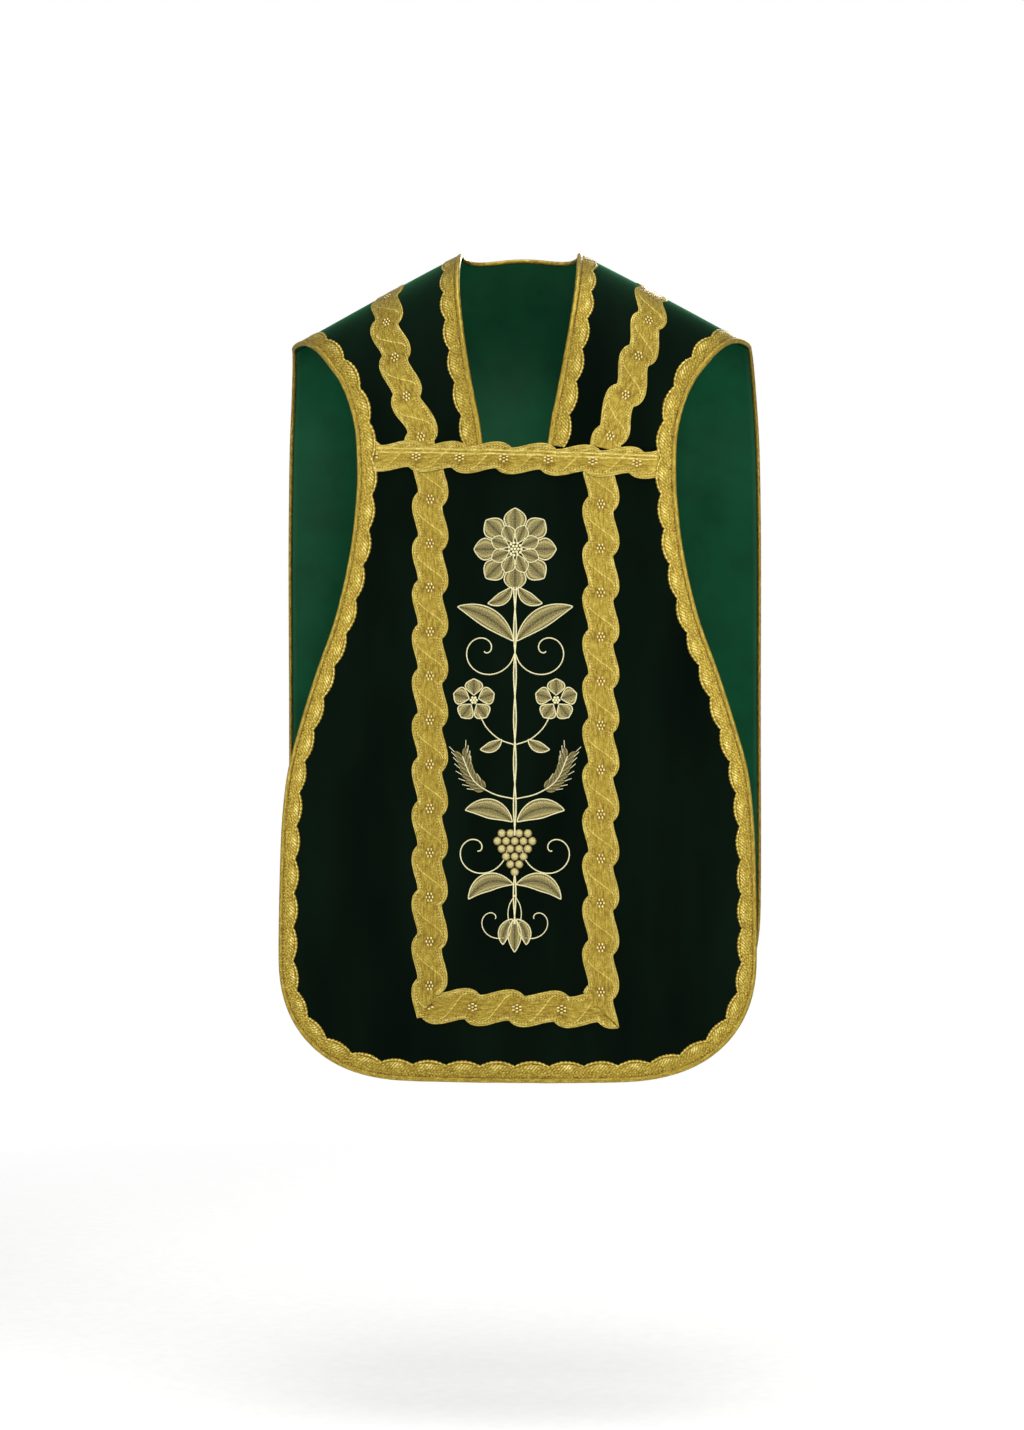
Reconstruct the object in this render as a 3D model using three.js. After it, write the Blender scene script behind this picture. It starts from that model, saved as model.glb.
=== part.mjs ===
// A Roman ("fiddleback") chasuble of stiff velvet with gold galloon, in the hollow form it has when worn.
// Millimetres, +Z up, +X to the wearer's left, the front faces -Y.
// The origin lies midway between the two neck points, on the crest of the shoulders.
//
// The whole garment is one surface, addressed by (x, v): x is the distance from the centre line, and v
// runs down from the shoulder crest, negative over the front and positive over the back.
// Every piece is a thin wall between two offsets from that surface.
import * as THREE from "three";

// ---- driving sizes ----
const NECK_HALF = 72.5; // neck opening at the shoulder crest, from the centre line
const HEM_Z = -1023.5; // lowest line of both panels
const WAIST_SEAM_Z = -256; // where the yokes are sewn to the front panel, under the crossbar
const NECK_HALF_AT_SEAM = 38;
const ARM_HALF_AT_SEAM = 194;
const SHOULDER_SEAM_V = 30; // the yokes are sewn to the back panel this far behind the crest
const SEAM = 0.3; // between pieces that are sewn edge to edge, or that lie face to face
const TRIM_LIFT = 0.8; // from the velvet to the trim that lies on it

// ---- thicknesses ----
const VELVET = 2;
const LINING = 1;
const GALLOON = 1.2;

// ---- how the cloth hangs ----
const CREST_SLOPE = 0.56; // fall of the shoulder line for each millimetre outwards
const CREST_ROUND = 45; // rounding of that line behind the neck
const FRONT = {
  side: -1,
  depth: 130, // how far the panel stands off the crest
  drop: 220, // height over which it turns from the crest to hanging straight
  bow: 6.7e-4, // sideways curve at the chest, in millimetres back for each square millimetre out
  bowAtHem: 4.8e-4,
  flare: 14, // how much further the hem stands off
  folds: [
    { x: -212, lean: -0.03, width: 58, depth: 5, starts: 90 },
    { x: -128, lean: -0.02, width: 54, depth: -3, starts: 330 },
    { x: 20, lean: 0.0, width: 80, depth: 3, starts: 300 },
    { x: 150, lean: 0.02, width: 56, depth: -3.5, starts: 240 },
    { x: 222, lean: 0.03, width: 56, depth: 5, starts: 110 },
  ],
};
const BACK = {
  side: 1,
  depth: 125,
  drop: 200,
  bow: 4.2e-4,
  bowAtHem: 3.4e-4,
  flare: 16,
  folds: [
    { x: -232, lean: -0.02, width: 56, depth: 6, starts: 120 },
    { x: -132, lean: 0.0, width: 58, depth: -5, starts: 200 },
    { x: -20, lean: 0.01, width: 72, depth: 4, starts: 320 },
    { x: 118, lean: 0.02, width: 60, depth: -5.5, starts: 160 },
    { x: 226, lean: 0.02, width: 58, depth: 6, starts: 100 },
  ],
};

// ---- outlines on the wearer's left, as the distance x from the centre line at heights z ----
const NECK_EDGE = [
  { x: 72.5, z: -45 },
  { x: 66, z: -100 },
  { x: 58, z: -150 },
  { x: 51.5, z: -185 },
  { x: 44.5, z: -220 },
  { x: 40.4, z: -249 },
  { x: 38, z: -262 },
];
const TIP_HALF = 287; // where the armhole crosses the crest
const ARM_EDGE = [
  { x: 235, z: -143 },
  { x: 219, z: -165 },
  { x: 206, z: -194 },
  { x: 196.5, z: -233 },
  { x: 194, z: -275 },
  { x: 196, z: -314 },
  { x: 203, z: -375 },
  { x: 222, z: -458 },
  { x: 246, z: -525 },
  { x: 267, z: -590 },
  { x: 282, z: -645 },
  { x: 289, z: -700 },
  { x: 292, z: -770 },
  { x: 293, z: -880 },
];
const BACK_EDGE = [
  { x: 292, z: -130 },
  { x: 297, z: -175 },
  { x: 301, z: -236 },
  { x: 303, z: -340 },
  { x: 303, z: -560 },
  { x: 303, z: -826 },
];
const FRONT_CORNER = { wide: 172, high: 150, power: 2.35 };
const BACK_CORNER = { wide: 183, high: 204, power: 2.3 };
const CORNER_STEPS = 12;
const NAPE_V = 92; // how far down the back the neckline dips

// ---- galloon ----
const WIDE = { notch: 15, lobe: 7.5, pitch: 54, offset: 0.165, skew: 0.6, steps: 4 };
const NARROW = { notch: 19.5, lobe: 6, pitch: 42, power: 0.8, steps: 3 };
const COLUMN_X = 104; // centre line of the column's two bands
const COLUMN_END = { z: -934, tilt: -0.02 }; // centre line of the band that closes the front column
const COLUMN_TOP = 2; // how far the column reaches up under the crossbar, past its centre line
const BACK_COLUMN_END_Z = -934;
const BAR = { z: -265.5, tilt: -0.032, half: 168, narrow: 0.86 }; // centre line of the crossbar
const BAND_TOP_X = 163; // the shoulder bands where they cross the crest
const SHOULDER_BAND = [
  { x: 161, z: -97 },
  { x: 149, z: -139 },
  { x: 137, z: -179 },
  { x: 120, z: -219 },
  { x: 112, z: -254 },
];
const BACK_BAND = [
  { x: 154, z: -98 },
  { x: 137, z: -160 },
  { x: 118, z: -222 },
  { x: 108, z: -268 },
  { x: 104.5, z: -320 },
  { x: 104, z: -420 },
  { x: 104, z: -640 },
];

// ---- materials ----
const velvet = new THREE.MeshStandardMaterial({ color: 0x0b2016, roughness: 0.95, metalness: 0 });
const satin = new THREE.MeshStandardMaterial({ color: 0x14502f, roughness: 0.45, metalness: 0 });
const gold = new THREE.MeshStandardMaterial({ color: 0xb8922f, roughness: 0.45, metalness: 0.35 });

const { PI, abs, acos, cos, hypot, max, min, sign, sin } = Math;
const mix = (a, b, t) => a + (b - a) * t;
const smooth = (t) => t * t * (3 - 2 * t);

// Height of the shoulder crest at a distance from the centre line.
const crest = (x) => CREST_SLOPE * (hypot(NECK_HALF, CREST_ROUND) - hypot(x, CREST_ROUND));

// The v at which a panel reaches the height z.
function downTo(panel, x, z) {
  const fall = crest(x) - z;
  const hang = panel.drop * (PI / 2);
  const along = fall < panel.drop ? panel.drop * acos(1 - fall / panel.drop) : hang + fall - panel.drop;
  return panel.side * along;
}

// A point of the garment's surface, the velvet's inner face.
function surface(x, v) {
  const panel = v < 0 ? FRONT : BACK;
  const turn = min(abs(v) / panel.drop, PI / 2);
  const hang = max(0, abs(v) - panel.drop * (PI / 2));
  const length = -HEM_Z - panel.drop;
  const share = min(1, hang / length);
  let out = panel.depth * sin(turn) + panel.flare * share ** 1.5;
  out -= mix(panel.bow, panel.bowAtHem, share) * x * x * sin(turn) ** 2;
  for (const fold of panel.folds) {
    const ramp = smooth(min(1, max(0, (hang - fold.starts) / (length - fold.starts))));
    out += fold.depth * ramp * Math.exp(-(((x - fold.x - fold.lean * hang) / fold.width) ** 2));
  }
  const z = crest(x) - panel.drop * (1 - cos(turn)) - hang;
  return new THREE.Vector3(x, panel.side * out, z);
}

// The two directions of the surface at a point, along x and along v, and its outward normal.
function frameAt(x, v) {
  const step = 0.5;
  const alongX = surface(x + step, v).sub(surface(x - step, v)).divideScalar(2 * step);
  const alongV = surface(x, v + step).sub(surface(x, v - step)).divideScalar(2 * step);
  const normal = new THREE.Vector3().crossVectors(alongX, alongV).normalize();
  return { alongX, alongV, normal };
}

// A closed wall over a grid of (x, v) points, between two offsets from the surface.
function wall(name, grid, inner, outer, material) {
  const rows = grid.length;
  const columns = grid[0].length;
  const positions = [];
  for (const offset of [outer, inner]) {
    for (const [x, v] of grid.flat()) {
      positions.push(...surface(x, v).addScaledVector(frameAt(x, v).normal, offset).toArray());
    }
  }
  const at = (face, i, j) => face * rows * columns + i * columns + j;
  const index = [];
  const quad = (a, b, c, d) => index.push(a, b, c, a, c, d);
  for (let i = 0; i < rows - 1; i++) {
    for (let j = 0; j < columns - 1; j++) {
      quad(at(0, i, j), at(0, i + 1, j), at(0, i + 1, j + 1), at(0, i, j + 1));
      quad(at(1, i, j), at(1, i, j + 1), at(1, i + 1, j + 1), at(1, i + 1, j));
    }
  }
  for (let i = 0; i < rows - 1; i++) {
    quad(at(0, i, 0), at(1, i, 0), at(1, i + 1, 0), at(0, i + 1, 0));
    const j = columns - 1;
    quad(at(0, i + 1, j), at(1, i + 1, j), at(1, i, j), at(0, i, j));
  }
  for (let j = 0; j < columns - 1; j++) {
    quad(at(0, 0, j + 1), at(1, 0, j + 1), at(1, 0, j), at(0, 0, j));
    const i = rows - 1;
    quad(at(0, i, j), at(1, i, j), at(1, i, j + 1), at(0, i, j + 1));
  }
  const [a, b, c] = [[0, 0], [1, 0], [1, 1]].map(([i, j]) => surface(...grid[i][j]));
  const facing = b.sub(a).cross(c.sub(a)).dot(frameAt(...grid[0][0]).normal);
  if (facing < 0) index.reverse();
  const geometry = new THREE.BufferGeometry();
  geometry.setAttribute("position", new THREE.Float32BufferAttribute(positions, 3));
  geometry.setIndex(index);
  geometry.computeVertexNormals();
  const mesh = new THREE.Mesh(geometry, material);
  mesh.name = name;
  return mesh;
}

// A smooth line through a few (x, v) points.
function line(points) {
  const knots = points.map(([x, v]) => new THREE.Vector3(x, v, 0));
  const curve = new THREE.CatmullRomCurve3(knots, false, "centripetal");
  return (t) => curve.getPointAt(t).toArray().slice(0, 2);
}

const mirrored = (points) => points.map(([x, v]) => [-x, v]);
const toSurface = (panel, rows) => rows.map(({ x, z }) => [x, downTo(panel, x, z)]);

// The rounded lower corner of a panel, from its side to the hem, and the straight hem on to the centre line.
function cornerAndHem(panel, shape, sideHalf) {
  const centreX = sideHalf - shape.wide;
  const centreZ = HEM_Z + shape.high;
  const round = Array.from({ length: CORNER_STEPS + 1 }, (_, k) => {
    const angle = (k / CORNER_STEPS) * (PI / 2);
    const x = centreX + shape.wide * cos(angle) ** (2 / shape.power);
    const z = centreZ - shape.high * sin(angle) ** (2 / shape.power);
    return [x, downTo(panel, x, z)];
  });
  const straight = [0.75, 0.5, 0.25, 0].map((share) => ({ x: centreX * share, z: HEM_Z }));
  return [...round, ...toSurface(panel, straight)];
}

// ---- edges, on the wearer's left side (x > 0) ----
const neckEdge = [[NECK_HALF, 0], ...toSurface(FRONT, NECK_EDGE)];
const behindTip = [TIP_HALF + 2.5, SHOULDER_SEAM_V];
const armEdge = [behindTip, [TIP_HALF, 0], ...toSurface(FRONT, ARM_EDGE)];
const backEdge = [behindTip, ...toSurface(BACK, BACK_EDGE)];
const frontHem = cornerAndHem(FRONT, FRONT_CORNER, ARM_EDGE.at(-1).x);
const backHem = cornerAndHem(BACK, BACK_CORNER, BACK_EDGE.at(-1).x);
const nape = [
  [NECK_HALF - 1.5, SHOULDER_SEAM_V],
  [NECK_HALF - 13, SHOULDER_SEAM_V + 33],
  [NECK_HALF - 36, NAPE_V - 9],
  [0, NAPE_V],
];

// x of an edge at a given v, along the edge's smooth line.
function edgeAt(points) {
  const smoothLine = line(points);
  const samples = Array.from({ length: 241 }, (_, k) => smoothLine(k / 240));
  return (v) => {
    let k = 1;
    while (k < samples.length - 1 && sign(samples[k][1] - v) === sign(samples[0][1] - v)) k++;
    const [x0, v0] = samples[k - 1];
    const [x1, v1] = samples[k];
    return mix(x0, x1, (v - v0) / (v1 - v0));
  };
}
const neckAt = edgeAt([[NECK_HALF - 1.5, SHOULDER_SEAM_V], ...neckEdge]);
const armAt = edgeAt(armEdge);

// A grid of (x, v) points inside four boundary lines, each given as a function of 0 to 1.
function patch(top, bottom, left, right, rows, columns) {
  return Array.from({ length: rows + 1 }, (_, i) => {
    const r = i / rows;
    return Array.from({ length: columns + 1 }, (_, j) => {
      const s = j / columns;
      return [0, 1].map((k) => {
        const across = mix(left(r)[k], right(r)[k], s);
        const down = mix(top(s)[k], bottom(s)[k], r);
        const corners = mix(mix(top(0)[k], top(1)[k], s), mix(bottom(0)[k], bottom(1)[k], s), r);
        return across + down - corners;
      });
    });
  });
}

// A line on one side, and on from its end, at the centre line, back over the other side.
const bothSides = (points) => [...points, ...mirrored(points.slice(0, -1)).reverse()];

// The side and the hem of a panel, split at the middle of its rounded corner.
function sideAndHem(side, cornerAndHem) {
  const half = CORNER_STEPS / 2;
  return { edge: [...side, ...cornerAndHem.slice(1, half + 1)], hem: bothSides(cornerAndHem.slice(half)) };
}

// ---- velvet and lining ----
const PANEL = { rows: 16, columns: 20 };
const YOKE = { rows: 14, columns: 6 };

function frontPanel() {
  const topV = (x) => downTo(FRONT, x, WAIST_SEAM_Z);
  const topHalf = armAt(topV(ARM_HALF_AT_SEAM));
  const below = toSurface(FRONT, ARM_EDGE).filter(([x, v]) => v < topV(x) - 5);
  const { edge, hem } = sideAndHem([[topHalf, topV(topHalf)], ...below], frontHem);
  const [right, left, bottom] = [line(edge), line(mirrored(edge)), line(mirrored(hem))];
  const top = (s) => {
    const x = mix(-topHalf, topHalf, s);
    return [x, topV(x)];
  };
  const grid = patch(top, bottom, left, right, PANEL.rows, PANEL.columns);
  return wall("front_panel", grid, 0, VELVET, velvet);
}

// A yoke runs from the seam under the crossbar up over the shoulder, side +1 on the wearer's left.
function yoke(name, side) {
  const topV = SHOULDER_SEAM_V - SEAM;
  const lowV = (x) => downTo(FRONT, x, WAIST_SEAM_Z + SEAM);
  const neckX = neckAt(lowV(NECK_HALF_AT_SEAM));
  const armX = armAt(lowV(ARM_HALF_AT_SEAM));
  const down = (edge, endX) => (r) => {
    const v = mix(topV, lowV(endX), r);
    return [edge(v), v];
  };
  const top = (s) => [mix(neckAt(topV), armAt(topV), s), topV];
  const bottom = (s) => {
    const x = mix(neckX, armX, s);
    return [x, lowV(x)];
  };
  const grid = patch(top, bottom, down(neckAt, neckX), down(armAt, armX), YOKE.rows, YOKE.columns);
  return wall(name, side > 0 ? grid : grid.map(mirrored), 0, VELVET, velvet);
}

function backGrid() {
  const { edge, hem } = sideAndHem(backEdge, backHem);
  const [right, left, bottom] = [line(edge), line(mirrored(edge)), line(mirrored(hem))];
  const dip = line(bothSides(mirrored(nape)));
  const seamShare = 7 / PANEL.columns;
  const top = (s) => {
    const fromEdge = min(s, 1 - s) / seamShare;
    if (fromEdge >= 1) return dip((s - seamShare) / (1 - 2 * seamShare));
    return [sign(s - 0.5) * mix(behindTip[0], nape[0][0], fromEdge), SHOULDER_SEAM_V];
  };
  return patch(top, bottom, left, right, PANEL.rows, PANEL.columns);
}
const backPanel = () => wall("back_panel", backGrid(), 0, VELVET, velvet);
const backLining = () => wall("back_lining", backGrid(), -SEAM - LINING, -SEAM, satin);

// ---- trims ----
// Evenly spaced (x, v) points from one to another.
function between(from, to, steps) {
  return Array.from({ length: steps + 1 }, (_, j) => [0, 1].map((k) => mix(from[k], to[k], j / steps)));
}

// A point a given distance to the left of a path that runs over the surface, found in short steps.
function beside([x, v], heading, distance) {
  const steps = 3;
  for (let k = 0; k < steps; k++) {
    const { alongX, alongV, normal } = frameAt(x, v);
    const across = new THREE.Vector3().crossVectors(normal, heading).normalize();
    const [xx, xv, vv] = [alongX.dot(alongX), alongX.dot(alongV), alongV.dot(alongV)];
    const [ax, av] = [across.dot(alongX), across.dot(alongV)];
    const share = distance / steps / (xx * vv - xv * xv);
    x += share * (ax * vv - av * xv);
    v += share * (av * xx - ax * xv);
  }
  return [x, v];
}

// A path over the surface, measured: at(s) gives the point and heading at a length s along it.
function measured(points, count = 400) {
  const along = line(points);
  const samples = Array.from({ length: count + 1 }, (_, k) => along(k / count));
  const places = samples.map(([x, v]) => surface(x, v));
  const lengths = [0];
  for (let k = 1; k <= count; k++) lengths.push(lengths[k - 1] + places[k].distanceTo(places[k - 1]));
  const at = (s) => {
    const target = min(max(s, 0), lengths[count]);
    let k = 1;
    while (k < count && lengths[k] < target) k++;
    const t = (target - lengths[k - 1]) / (lengths[k] - lengths[k - 1]);
    const point = [0, 1].map((n) => mix(samples[k - 1][n], samples[k][n], t));
    return { point, heading: places[k].clone().sub(places[k - 1]).normalize() };
  };
  return { at, length: lengths[count] };
}

// Half width of the wide galloon, s along it from a rosette, with lobes that rise fast and fall slowly.
function wideHalf(s) {
  const phase = (((s / WIDE.pitch + WIDE.offset) % 1) + 1) % 1;
  return WIDE.notch + WIDE.lobe * sin(PI * phase ** WIDE.skew);
}

// How far out the galloon's edge lies, and where along it, when its end is cut on a mitre.
function edgeStation(path, side, t, { mitres, narrow }) {
  let [reach, s] = [WIDE.notch, 0];
  for (let k = 0; k < 4; k++) {
    s = mix(mitres[0] * side * reach, path.length + mitres[1] * side * reach, t);
    reach = narrow * wideHalf(side > 0 ? -s : s);
  }
  if (t === 0 && mitres[0]) reach = abs(s);
  if (t === 1 && mitres[1]) reach = abs(s - path.length);
  return { s, reach };
}

// A length of wide galloon. A mitred end's cut leans by its mitre for each millimetre across, and an end
// that stops at a seam is cut along it, at the seam's v.
function wideBand(name, points, { lift = 0, columns = 1, mitres = [0, 0], narrow = 1, startV = null } = {}) {
  const path = measured(points);
  const steps = Math.round((path.length / WIDE.pitch) * WIDE.steps);
  const grid = Array.from({ length: steps + 1 }, (_, i) => {
    const edges = [1, -1].map((side) => {
      const { s, reach } = edgeStation(path, side, i / steps, { mitres, narrow });
      const { point, heading } = path.at(s);
      const beyond = s - min(max(s, 0), path.length);
      const [x, v] = beside(point, heading, side * reach);
      return beyond ? stepOn([x, v], heading, beyond) : [x, v];
    });
    return between(edges[0], edges[1], columns);
  });
  if (startV !== null) grid[0] = grid[0].map(([x]) => [x, startV]);
  const low = VELVET + TRIM_LIFT + lift;
  return wall(name, grid, low, low + GALLOON, gold);
}

// A point moved straight on along a heading, over the surface.
function stepOn(point, heading, distance) {
  const { normal } = frameAt(...point);
  return beside(point, new THREE.Vector3().crossVectors(heading, normal), distance);
}

// A length of narrow galloon, its straight edge on the path and its lobes to the path's left.
function narrowBand(name, points, columns = 2) {
  const path = measured(points, 900);
  const lobes = Math.round(path.length / NARROW.pitch);
  const steps = lobes * NARROW.steps;
  const grid = Array.from({ length: steps + 1 }, (_, i) => {
    const { point, heading } = path.at((path.length * i) / steps);
    const swell = sin(PI * ((i % NARROW.steps) / NARROW.steps)) ** NARROW.power;
    const far = beside(point, heading, NARROW.notch + NARROW.lobe * swell);
    return between(point, far, columns);
  });
  const low = VELVET + TRIM_LIFT;
  return wall(name, grid, low, low + GALLOON, gold);
}

// Round the front from the right shoulder seam, down, along the hem and up to the left shoulder seam.
function frontEdgeGalloon() {
  const leftSide = [[behindTip[0], SHOULDER_SEAM_V - SEAM], ...armEdge.slice(1), ...frontHem.slice(1)];
  return narrowBand("front_edge_galloon", bothSides(leftSide).reverse());
}

function backEdgeGalloon() {
  const leftSide = [[behindTip[0], SHOULDER_SEAM_V + SEAM], ...backEdge.slice(1), ...backHem.slice(1)];
  return narrowBand("back_edge_galloon", bothSides(leftSide));
}

// The neck's galloon ends under the crossbar, a little above the seam.
function neckGalloon() {
  return narrowBand("neck_galloon", bothSides([...neckEdge.slice(0, -1).reverse(), ...nape]).reverse());
}

// The crossbar lies over the ends of the bands and of the neck galloon.
function crossbar() {
  const points = Array.from({ length: 9 }, (_, k) => {
    const x = mix(-BAR.half, BAR.half, k / 8);
    return [x, downTo(FRONT, x, BAR.z + BAR.tilt * x)];
  });
  return wideBand("crossbar_galloon", points, { lift: GALLOON + SEAM, columns: 2, narrow: BAR.narrow });
}

function shoulderBand(name, side) {
  const startV = SHOULDER_SEAM_V - SEAM;
  const points = [[BAND_TOP_X - 3, startV], [BAND_TOP_X, 0], ...toSurface(FRONT, SHOULDER_BAND)];
  return wideBand(name, points.map(([x, v]) => [side * x, v]), { columns: 2, startV });
}

// A straight run down or across a panel at a few heights.
function run(panel, from, to) {
  return Array.from({ length: 7 }, (_, k) => {
    const x = mix(from.x, to.x, k / 6);
    return [x, downTo(panel, x, mix(from.z, to.z, k / 6))];
  });
}

function frontColumn() {
  const low = (x) => COLUMN_END.z + COLUMN_END.tilt * x;
  const band = (name, x, mitre) => {
    const points = run(FRONT, { x, z: BAR.z + BAR.tilt * x + COLUMN_TOP }, { x, z: low(x) + SEAM });
    return wideBand(name, points, { mitres: [0, mitre] });
  };
  const footEnd = (x) => ({ x, z: low(x) });
  const foot = run(FRONT, footEnd(SEAM - COLUMN_X), footEnd(COLUMN_X - SEAM));
  return [
    band("front_column_right", -COLUMN_X, -1),
    band("front_column_left", COLUMN_X, 1),
    wideBand("front_column_foot", foot, { mitres: [1, -1] }),
  ];
}

function backColumn() {
  const band = (name, side, mitre) => {
    const startV = SHOULDER_SEAM_V + SEAM;
    const rows = [...BACK_BAND, { x: COLUMN_X, z: BACK_COLUMN_END_Z + SEAM }];
    const points = [[BAND_TOP_X - 3, startV], ...toSurface(BACK, rows)];
    return wideBand(name, points.map(([x, v]) => [side * x, v]), { columns: 2, mitres: [0, mitre], startV });
  };
  const [near, far] = [COLUMN_X - SEAM, -COLUMN_X + SEAM];
  const foot = run(BACK, { x: near, z: BACK_COLUMN_END_Z }, { x: far, z: BACK_COLUMN_END_Z });
  return [
    band("back_column_right", -1, 1),
    band("back_column_left", 1, -1),
    wideBand("back_column_foot", foot, { mitres: [1, -1] }),
  ];
}

const chasuble = new THREE.Group();
chasuble.add(
  frontPanel(),
  yoke("yoke_left", 1),
  yoke("yoke_right", -1),
  backPanel(),
  backLining(),
  frontEdgeGalloon(),
  backEdgeGalloon(),
  neckGalloon(),
  crossbar(),
  shoulderBand("shoulder_band_left", 1),
  shoulderBand("shoulder_band_right", -1),
  ...frontColumn(),
  ...backColumn(),
);

export default chasuble;
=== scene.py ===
"""Looks of a Roman chasuble: green velvet, satin lining, scalloped gold galloon and an embroidered front.

Lengths are millimetres until a mesh is made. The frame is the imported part's: +Z up, the front faces -Y,
+X is the wearer's left, and the origin lies between the two neck points, on the crest of the shoulders.
The garment is one surface, addressed by (x, v): v runs down from the crest, negative over the front.
"""
import math

import bpy
import numpy as np
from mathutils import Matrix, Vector


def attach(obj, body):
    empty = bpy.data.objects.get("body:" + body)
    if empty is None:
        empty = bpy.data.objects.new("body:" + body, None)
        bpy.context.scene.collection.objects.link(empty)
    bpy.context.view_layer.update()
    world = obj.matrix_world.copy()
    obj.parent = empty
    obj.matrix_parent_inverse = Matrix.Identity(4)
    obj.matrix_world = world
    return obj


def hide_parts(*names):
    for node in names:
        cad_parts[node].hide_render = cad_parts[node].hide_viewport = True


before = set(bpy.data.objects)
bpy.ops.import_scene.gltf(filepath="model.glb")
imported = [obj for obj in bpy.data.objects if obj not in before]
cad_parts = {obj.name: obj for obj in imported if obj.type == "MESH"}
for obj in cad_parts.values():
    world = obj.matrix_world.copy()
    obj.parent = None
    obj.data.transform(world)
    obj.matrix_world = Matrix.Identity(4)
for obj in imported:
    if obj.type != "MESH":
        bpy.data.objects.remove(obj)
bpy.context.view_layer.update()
MM = 0.001
PI = math.pi

# ---- the part's driving sizes ----
NECK_HALF = 72.5
HEM_Z = -1023.5
WAIST_SEAM_Z = -256.0
NECK_HALF_AT_SEAM = 38.0
ARM_HALF_AT_SEAM = 194.0
SHOULDER_SEAM_V = 30.0
SEAM = 0.3
VELVET = 2.0
LINING = 1.0
CREST_SLOPE = 0.56
CREST_ROUND = 45.0


def rows(names, *table):
    """A short table with named columns."""
    return [dict(zip(names.split(), row)) for row in table]


def pairs(a, b):
    """Points (a, b), broadcast together."""
    return np.stack(np.broadcast_arrays(a, b), -1)


FOLD = "x lean width depth starts"
FRONT = {
    "side": -1, "depth": 130.0, "drop": 220.0, "bow": 6.7e-4, "bow_at_hem": 4.8e-4, "flare": 14.0,
    "folds": rows(
        FOLD,
        (-212, -0.03, 58, 5, 90),
        (-128, -0.02, 54, -3, 330),
        (20, 0, 80, 3, 300),
        (150, 0.02, 56, -3.5, 240),
        (222, 0.03, 56, 5, 110),
    ),
}
BACK = {
    "side": 1, "depth": 125.0, "drop": 200.0, "bow": 4.2e-4, "bow_at_hem": 3.4e-4, "flare": 16.0,
    "folds": rows(
        FOLD,
        (-232, -0.02, 56, 6, 120),
        (-132, 0, 58, -5, 200),
        (-20, 0.01, 72, 4, 320),
        (118, 0.02, 60, -5.5, 160),
        (226, 0.02, 58, 6, 100),
    ),
}
# Soft creases over the folds, as ridges (depth > 0) and troughs centred on (x, v), long down the cloth.
CREASES = rows(
    "x v along across lean depth",
    (205, -150, 70, 13, 0.35, -1.6),
    (-208, -140, 75, 14, -0.35, -1.5),
    (92, -120, 80, 12, -0.15, -1.1),
    (-95, -112, 70, 12, 0.2, -1.2),
    (262, -770, 150, 17, 0.1, 2.2),
    (-258, -800, 170, 16, -0.08, -2.0),
    (176, -880, 130, 16, 0.05, 1.8),
    (-186, -720, 160, 17, -0.05, 1.6),
    (45, -930, 120, 20, 0.02, -1.5),
    (-52, -900, 140, 18, -0.03, 1.4),
    (236, 190, 120, 16, -0.12, 2.2),
    (-240, 210, 130, 17, 0.1, 2.0),
    (60, 260, 150, 18, 0.05, -1.8),
    (-46, 300, 170, 18, -0.04, -1.7),
    (178, 620, 240, 19, 0.03, 2.6),
    (-182, 680, 260, 20, -0.03, 2.4),
    (30, 800, 240, 24, 0.02, -2.4),
    (266, 840, 170, 16, 0.04, -2.4),
    (-268, 780, 190, 17, -0.02, -2.2),
)

NECK_EDGE = rows(
    "x z", (72.5, -45), (66, -100), (58, -150), (51.5, -185), (44.5, -220), (40.4, -249), (38, -262)
)
ARM_EDGE = rows(
    "x z",
    (235, -143), (219, -165), (206, -194), (196.5, -233), (194, -275), (196, -314), (203, -375),
    (222, -458), (246, -525), (267, -590), (282, -645), (289, -700), (292, -770), (293, -880),
)
BACK_EDGE = rows("x z", (292, -130), (297, -175), (301, -236), (303, -340), (303, -560), (303, -826))
FRONT_CORNER = {"wide": 172.0, "high": 150.0, "power": 2.35}
BACK_CORNER = {"wide": 183.0, "high": 204.0, "power": 2.3}
CORNER_STEPS = 12
TIP_HALF = 287.0
NAPE_V = 92.0

# ---- galloon ----
COLUMN_X = 104.0
COLUMN_END = {"z": -934.0, "tilt": -0.02}
COLUMN_TOP = 2.0
BACK_COLUMN_END_Z = -934.0
BAR = {"z": -265.5, "tilt": -0.032, "half": 174.0, "narrow": 0.86, "lift": 1.5, "under": VELVET + 0.4}
BAND_TOP_X = 163.0
SHOULDER_BAND = rows("x z", (161, -97), (149, -139), (137, -179), (120, -219), (112, -254))
BACK_BAND = rows(
    "x z", (154, -98), (137, -160), (118, -222), (108, -268), (104.5, -320), (104, -420), (104, -640)
)
WIDE = {"notch": 15.0, "lobe": 7.5, "pitch": 54.0, "offset": 0.165, "skew": 0.6, "round": 0.35}
NARROW = {"notch": 19.0, "lobe": 5.8, "pitch": 42.0, "power": 0.8}
GALLOON = 1.3  # height of the galloon over the velvet, nearly
UNDER = VELVET - 0.3  # where the sides of a galloon end, in the pile
BORDER = 6.4  # width of the wide galloon's braided border
PICOT = 3.5  # pitch of the little loops along the wide galloon's edges
NARROW_PICOT = 5.25
ROLL = 4.4  # width of the band that turns round the cloth's edge
STEP = 0.9  # spacing of the mesh along a galloon


# ---- the surface ----
PROBE = 0.5  # half the span over which the surface's directions are measured


def crest(x):
    return CREST_SLOPE * (math.hypot(NECK_HALF, CREST_ROUND) - np.hypot(x, CREST_ROUND))


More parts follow.
